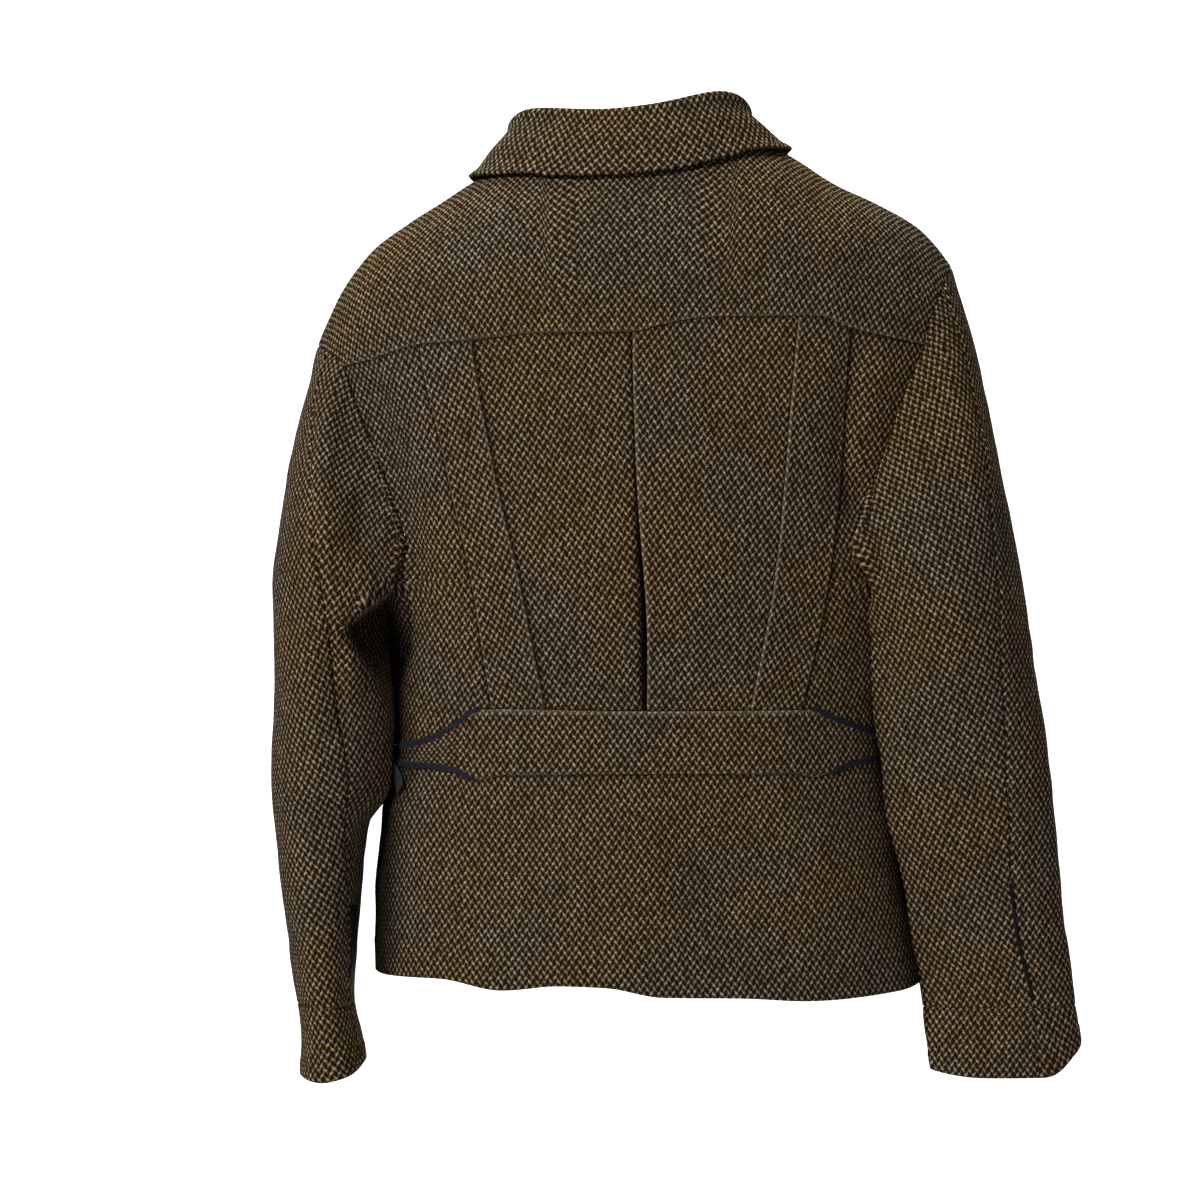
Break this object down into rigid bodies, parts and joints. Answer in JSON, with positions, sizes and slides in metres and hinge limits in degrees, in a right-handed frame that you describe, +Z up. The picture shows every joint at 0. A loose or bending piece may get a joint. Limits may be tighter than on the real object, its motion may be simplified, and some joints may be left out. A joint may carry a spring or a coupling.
{
  "type": "tweed jacket",
  "caption": "Short hip-length tweed jacket, filled out with no wearer: shoulder yoke, centre-back pleat, tapered back waistband with side straps, turned-down collar.",
  "frame": {"origin": "middle of the shoulder line at the base of the neck, where the wearer's shoulders hold it", "axes": "+X to the wearer's left, +Y out of the back, -Y out of the front, +Z up"},
  "size_m": [0.6116, 0.2609, 0.7453],
  "materials": {
    "tweed": "woven wool tweed",
    "tape": "dark woven tape",
    "strap_cloth": "dark woven strap",
    "facing": "black facing",
    "lining": "grey lining",
    "buckle_metal": "worn nickel",
    "button": "dark brown"
  },
  "bodies": {
    "root": {"back_centre_left": "tweed", "back_centre_right": "tweed", "back_side_left": "tweed", "back_side_right": "tweed", "back_skirt": "tweed", "back_strip_left": "tweed", "back_strip_right": "tweed", "back_waistband": "tweed", "back_yoke": "tweed", "buckle_left": "buckle_metal", "buckle_right": "buckle_metal", "button_1": "button", "button_2": "button", "button_3": "button", "button_4": "button", "button_5": "button", "collar": "tweed", "cuff_left": "tweed", "cuff_right": "tweed", "front_left": "tweed", "front_lining_strip": "lining", "front_right": "tweed", "strap_left": "strap_cloth", "strap_right": "strap_cloth", "tape_lower_left": "tape", "tape_lower_right": "tape", "tape_upper_left": "tape", "tape_upper_right": "tape", "top_sleeve_left": "tweed", "top_sleeve_right": "tweed", "under_sleeve_left": "tweed", "under_sleeve_right": "tweed", "vent_facing_left": "facing", "vent_facing_right": "facing"}
  },
  "joints": []
}
